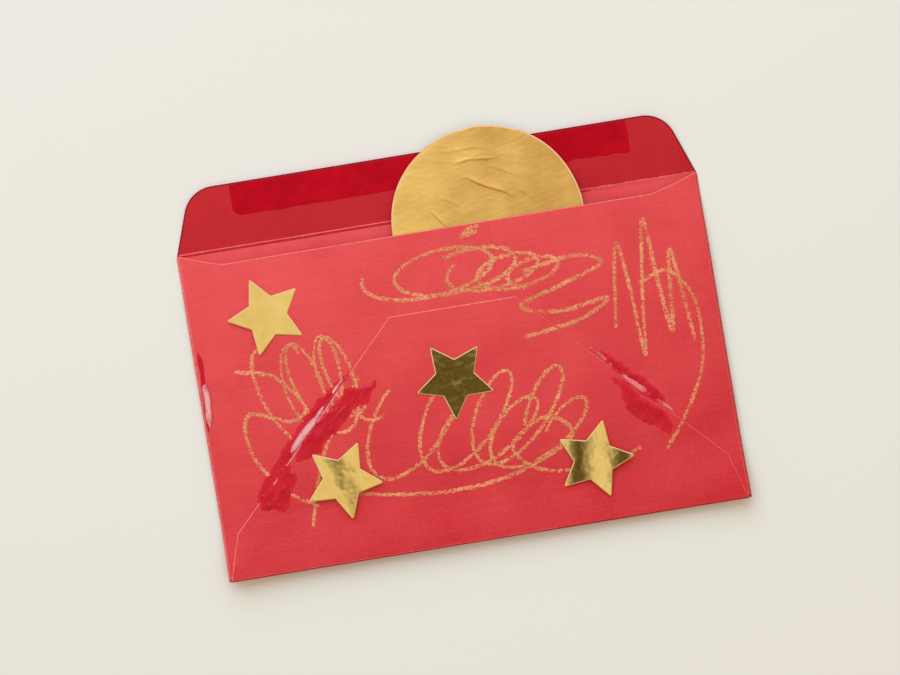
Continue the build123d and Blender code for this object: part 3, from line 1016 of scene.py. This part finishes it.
def make_crayon():
    """A free scribble: loops across the top, at the left and along the bottom, steep strokes at the right."""
    top_tail = [(20, 25), (34, 27), (41, 24), (30, 20), (18, 16), (28, 13), (41, 14.5), (33, 10), (17, 7.5)]
    right_zigzag = [(42, 6), (44.5, 24), (46, 28), (47.4, 16), (48.6, -2), (50.5, 14), (53.6, 33.5), (55, 18),
                    (56.8, 3), (58.6, 20), (59.8, 24), (61.2, 12), (62.4, -1)]
    right_sweep = [(50, 17), (58, 19), (64, 10), (63.5, -6), (57, -19), (50, -28)]
    left_sweep = [(-60, 11), (-50, 8), (-43, -1), (-47, -4.5), (-58, -1), (-59, -11), (-52, -22), (-43, -28)]
    left_cross = [(-46, -33), (-42.5, -21), (-37, -9), (-27, 5)]
    bottom_sweep = [(-34, -26), (-20, -28.5), (-4, -29.5), (12, -27), (26, -20), (20, -14), (10, -20),
                    (16, -27.5), (32, -29.5), (44, -26)]
    strokes = (
        ("crayon_top_loops", loops(-7, 28.6, 1.9, 14, -1, 16.0, 6.4, 0.35, 2.9, 0.85), 1.3, 0.95),
        ("crayon_top_coil", loops(10, 26.8, 2.3, 15, -3, 11, 4.9, 0.5, 2.5, 0.7), 1.3, 1.0),
        ("crayon_top_tail", sweep(top_tail), 1.4, 1.1),
        ("crayon_right_zigzag", sweep(right_zigzag), 1.3, 1.0),
        ("crayon_right_sweep", sweep(right_sweep), 1.2, 0.85),
        ("crayon_left_loops", loops(-50, 1.5, 2.6, 23, 3, 6.2, 14, -0.22, 1.4, 0.85), 1.2, 0.8),
        ("crayon_left_coil", loops(-45, 3, 1.7, 15, 3, 5.5, 12.5, -0.05, 0.9, 0.9), 1.2, 0.8),
        ("crayon_left_sweep", sweep(left_sweep), 1.25, 0.85),
        ("crayon_left_cross", sweep(left_cross), 1.2, 0.8),
        ("crayon_bottom_loops", loops(-22, -11, 3.2, 44, -2, 7.5, 12.6, 0.55, 2.1, 0.92), 1.2, 0.85),
        ("crayon_bottom_coil", loops(-2, -15, 2.1, 28, -4, 8.5, 9.0, 0.75, 2.4, 0.9), 1.2, 0.85),
        ("crayon_bottom_sweep", sweep(bottom_sweep), 1.3, 0.95),
        ("crayon_mouth_patch", zigzag(6.2, 37.8, 4, 3.5, 1.4, 0.2, 1.2), 1.3, 0.9),
    )
    for seed, (name, path, width, press) in enumerate(strokes):
        crayon_line(name, path, width, 80 + 7 * seed, press)


# Table, light and camera

def make_table():
    """A pale table top."""
    bpy.ops.mesh.primitive_plane_add(size=6, location=(0, 0, TABLE_Z))
    floor = bpy.context.object
    floor.name = "table_top"
    mat, tree, shader, place = new_material("table_cream", 0.75, specular=0.25)
    cloud = noise(tree, place, 3, 2.0)
    colour = mix(tree, cloud, srgb(238, 239, 232), srgb(241, 243, 237))
    tree.links.new(colour, shader.inputs["Base Color"])
    floor.data.materials.append(mat)


def make_window():
    """One broad lamp at the upper left, cool as daylight from a window."""
    data = bpy.data.lights.new("window", "AREA")
    data.shape = "DISK"
    data.size = 1.45
    data.energy = 9.7
    data.color = (0.79, 1.02, 1.33)
    lamp = bpy.data.objects.new("window", data)
    lamp.location = VIEW_RIGHT * -0.32 + VIEW_UP * 0.85 + Vector((0, 0, 0.95))
    lamp.rotation_euler = (-Vector(lamp.location)).to_track_quat("-Z", "Y").to_euler()
    bpy.context.scene.collection.objects.link(lamp)


def make_room():
    """Warm walls and a bright ceiling, with a small dark spot straight above for the flat foil to mirror."""
    world = bpy.data.worlds.new("soft_room")
    bpy.context.scene.world = world
    world.use_nodes = True
    sky = world.node_tree
    way = node(sky, "ShaderNodeTexCoord").outputs["Generated"]
    axes = node(sky, "ShaderNodeSeparateXYZ", Vector=way).outputs
    walls = mix(sky, spread(sky, axes["Y"], -0.7, 0.5), (0.46, 0.26, 0.09, 1), (0.60, 0.42, 0.18, 1))
    room = mix(sky, spread(sky, axes["Z"], 0.60, 0.90), walls, (0.90, 0.877, 0.81, 1))
    spot = spread(sky, axes["Z"], cos(radians(4.7)), cos(radians(1.3)))
    room = mix(sky, spot, room, (0.11, 0.095, 0.05, 1))
    sky.links.new(room, sky.nodes["Background"].inputs["Color"])


def make_camera():
    """A camera straight above, turned as the photograph is."""
    data = bpy.data.cameras.new("camera")
    camera = bpy.data.objects.new("camera", data)
    bpy.context.scene.collection.objects.link(camera)
    data.sensor_width = 36.0
    data.lens = data.sensor_width * VIEW_HEIGHT / VIEW_WIDTH
    camera.matrix_world = Matrix((
        (VIEW_RIGHT.x, VIEW_UP.x, 0, VIEW_CENTRE[0]),
        (VIEW_RIGHT.y, VIEW_UP.y, 0, VIEW_CENTRE[1]),
        (0, 0, 1, VIEW_HEIGHT),
        (0, 0, 0, 1),
    ))
    bpy.context.scene.camera = camera


make_envelope()
make_crease()
make_flap()
make_coin()
make_stars()
make_glue()
make_crayon()
make_table()
make_window()
make_room()
make_camera()
bpy.context.scene.view_settings.view_transform = "Standard"
